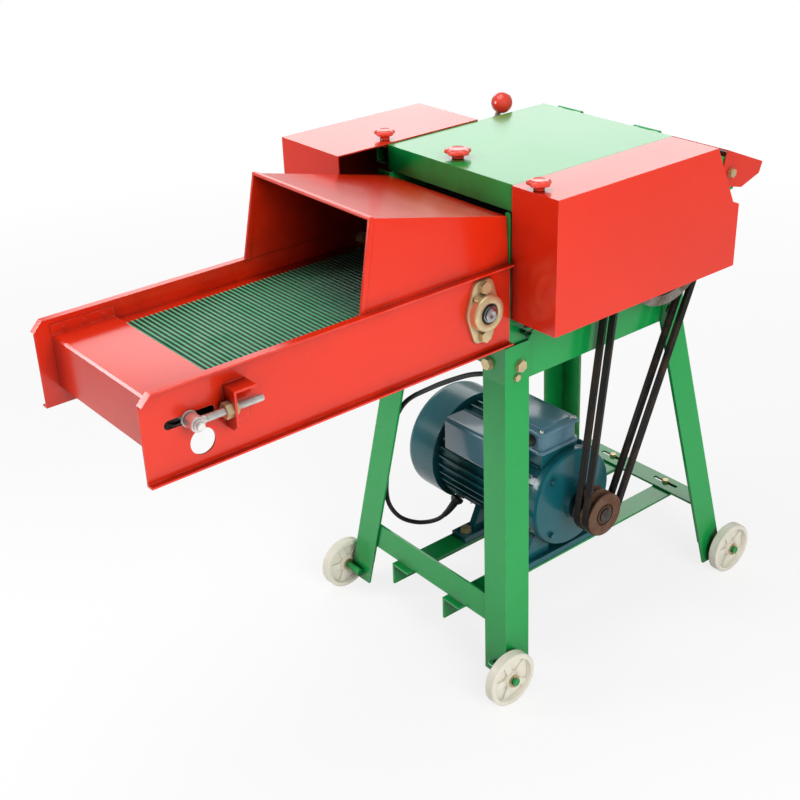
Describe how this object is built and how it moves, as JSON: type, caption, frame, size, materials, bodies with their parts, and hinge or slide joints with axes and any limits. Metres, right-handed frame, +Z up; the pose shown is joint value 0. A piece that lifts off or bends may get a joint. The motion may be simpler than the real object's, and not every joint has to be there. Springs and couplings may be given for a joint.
{
  "type": "straw shredder",
  "caption": "Small drum straw shredder with a belt feed table, hood, toothed feed rollers, knife drum, V-belt drive and motor on four wheeled legs.",
  "frame": {"origin": "centre of the machine's outline on the floor, without its cord", "axes": "+Z up, -Y towards the feed table, +X towards the belt guard"},
  "size_m": [0.503, 1.154, 0.827],
  "materials": {
    "green_paint": "gloss",
    "dark_green_paint": "gloss",
    "mint_paint": "gloss",
    "red_paint": "gloss",
    "grey_paint": "satin",
    "gearbox_paint": "satin",
    "steel": "satin",
    "gold_zinc": "satin",
    "motor_paint": "gloss",
    "box_paint": "satin",
    "brown_iron": "matte",
    "grey_iron": "matte",
    "v_belt_rubber": "satin",
    "feed_belt_rubber": "matte",
    "cord_rubber": "satin",
    "black_plastic": "matte",
    "red_plastic": "gloss",
    "cream_plastic": "matte"
  },
  "bodies": {
    "frame": {"leg_front_right": "green_paint", "leg_front_left": "green_paint", "leg_rear_right": "green_paint", "leg_rear_left": "green_paint", "front_cross_beam": "dark_green_paint", "front_brace": "dark_green_paint", "rear_brace": "mint_paint", "motor_rails": "dark_green_paint", "side_plate_right": "green_paint", "side_plate_left": "green_paint", "rotor_housing": "dark_green_paint", "blade_bed": "grey_paint", "fixed_blade": "steel", "tray_side_right": "red_paint", "tray_side_left": "red_paint", "tray_deck": "red_paint", "feed_hood": "red_paint", "conveyor_belt": "feed_belt_rubber", "belt_guard": "red_paint", "gear_cover": "red_paint", "flange_bearings": "gold_zinc", "gearbox": "gearbox_paint", "motor_body": "motor_paint", "motor_end_bell": "motor_paint", "fan_cowl": "motor_paint", "terminal_box": "box_paint", "capacitor_box": "box_paint", "v_belts": "v_belt_rubber", "frame_bolts": "gold_zinc", "power_cord": "cord_rubber", "cord_gland": "black_plastic", "cord_coil": "cord_rubber", "plug": "black_plastic"},
    "lid": {"lid": "green_paint"},
    "lid_knob": {"lid_knob": "red_plastic"},
    "guard_knob": {"guard_knob": "red_plastic"},
    "gear_cover_knob": {"gear_cover_knob": "red_plastic"},
    "rotor": {"main_shaft": "steel", "knife_drum": "grey_paint", "knives": "steel", "large_pulley": "grey_iron"},
    "motor_rotor": {"motor_shaft": "steel", "motor_pulley": "brown_iron", "cooling_fan": "black_plastic"},
    "conveyor_drive": {"conveyor_drive_roller": "grey_paint"},
    "take_up": {"take_up": "steel"},
    "front_roller": {"idler_roller": "grey_paint"},
    "lower_roller": {"lower_feed_roller": "grey_paint"},
    "upper_roller": {"upper_feed_roller": "grey_paint"},
    "idler_gear": {"idler_gear": "steel"},
    "output_gear": {"output_gear": "steel"},
    "roller_arms": {"roller_arms": "grey_paint", "pressure_springs": "steel"},
    "deflector": {"deflector": "red_paint"},
    "clutch_lever": {"clutch_lever": "steel", "lever_ball": "red_plastic"},
    "wheel_front_right": {"wheel_front_right": "cream_plastic"},
    "wheel_front_left": {"wheel_front_left": "cream_plastic"},
    "wheel_rear_right": {"wheel_rear_right": "cream_plastic"},
    "wheel_rear_left": {"wheel_rear_left": "cream_plastic"}
  },
  "joints": [
    {"name": "main_shaft", "type": "hinge", "parent": "frame", "child": "rotor", "pos_m": [0.0255, 0.308, 0.652], "axis": [1, 0, 0], "continuous": true},
    {"name": "motor_shaft", "type": "hinge", "parent": "frame", "child": "motor_rotor", "pos_m": [0.0255, 0.191, 0.217], "axis": [1, 0, 0], "continuous": true},
    {"name": "conveyor_drive", "type": "hinge", "parent": "frame", "child": "conveyor_drive", "pos_m": [0.0255, -0.047, 0.637], "axis": [1, 0, 0], "continuous": true},
    {"name": "belt_take_up", "type": "slide", "parent": "frame", "child": "take_up", "axis": [0, 1, 0], "range_m": [-0.01, 0.01], "deforming": ["conveyor_belt"]},
    {"name": "front_roller", "type": "hinge", "parent": "take_up", "child": "front_roller", "pos_m": [0.0255, -0.514, 0.64], "axis": [1, 0, 0], "continuous": true},
    {"name": "lower_roller", "type": "hinge", "parent": "frame", "child": "lower_roller", "pos_m": [0.0255, 0.105, 0.635], "axis": [1, 0, 0], "continuous": true},
    {"name": "arm_lift", "type": "hinge", "parent": "frame", "child": "roller_arms", "pos_m": [0.0255, 0.185, 0.672], "axis": [-1, 0, 0], "range_deg": [0, 5], "stiffness_Nm_per_rad": 30, "springref_deg": -20.05, "deforming": ["pressure_springs"]},
    {"name": "upper_roller", "type": "hinge", "parent": "roller_arms", "child": "upper_roller", "pos_m": [0.0255, 0.105, 0.708], "axis": [1, 0, 0], "continuous": true},
    {"name": "idler_gear", "type": "hinge", "parent": "frame", "child": "idler_gear", "pos_m": [0.0255, 0.02458, 0.64472], "axis": [1, 0, 0], "continuous": true},
    {"name": "output_gear", "type": "hinge", "parent": "frame", "child": "output_gear", "pos_m": [0.0255, 0.165, 0.635], "axis": [1, 0, 0], "continuous": true},
    {"name": "lid_hinge", "type": "hinge", "parent": "frame", "child": "lid", "pos_m": [0.0255, 0.345, 0.798], "axis": [-1, 0, 0], "range_deg": [0, 105]},
    {"name": "lid_knob", "type": "hinge", "parent": "lid", "child": "lid_knob", "pos_m": [0.0145, 0.042, 0.802], "axis": [0, 0, 1], "continuous": true},
    {"name": "guard_knob", "type": "hinge", "parent": "frame", "child": "guard_knob", "pos_m": [0.1975, 0.023, 0.802], "axis": [0, 0, 1], "continuous": true},
    {"name": "gear_cover_knob", "type": "hinge", "parent": "frame", "child": "gear_cover_knob", "pos_m": [-0.1305, 0.024, 0.804], "axis": [0, 0, 1], "continuous": true},
    {"name": "deflector_hinge", "type": "hinge", "parent": "frame", "child": "deflector", "pos_m": [0.0255, 0.495, 0.71], "axis": [1, 0, 0], "range_deg": [-25, 12]},
    {"name": "clutch_lever", "type": "hinge", "parent": "frame", "child": "clutch_lever", "pos_m": [-0.1395, 0.264, 0.728], "axis": [1, 0, 0], "range_deg": [-15, 15]},
    {"name": "wheel_front_right", "type": "hinge", "parent": "frame", "child": "wheel_front_right", "pos_m": [0.2355, -0.0572, 0.045], "axis": [1, 0, 0], "continuous": true},
    {"name": "wheel_front_left", "type": "hinge", "parent": "frame", "child": "wheel_front_left", "pos_m": [-0.1845, -0.0572, 0.045], "axis": [1, 0, 0], "continuous": true},
    {"name": "wheel_rear_right", "type": "hinge", "parent": "frame", "child": "wheel_rear_right", "pos_m": [0.2355, 0.4782, 0.045], "axis": [1, 0, 0], "continuous": true},
    {"name": "wheel_rear_left", "type": "hinge", "parent": "frame", "child": "wheel_rear_left", "pos_m": [-0.1845, 0.4782, 0.045], "axis": [1, 0, 0], "continuous": true}
  ],
  "couplings": [
    {"joint": "motor_shaft", "follows": "main_shaft", "ratio": 2.7847},
    {"joint": "output_gear", "follows": "main_shaft", "ratio": 0.083333},
    {"joint": "lower_roller", "follows": "main_shaft", "ratio": -0.055556},
    {"joint": "upper_roller", "follows": "main_shaft", "ratio": 0.055556},
    {"joint": "idler_gear", "follows": "main_shaft", "ratio": 0.044444},
    {"joint": "conveyor_drive", "follows": "main_shaft", "ratio": -0.074074},
    {"joint": "front_roller", "follows": "main_shaft", "ratio": -0.083411}
  ]
}
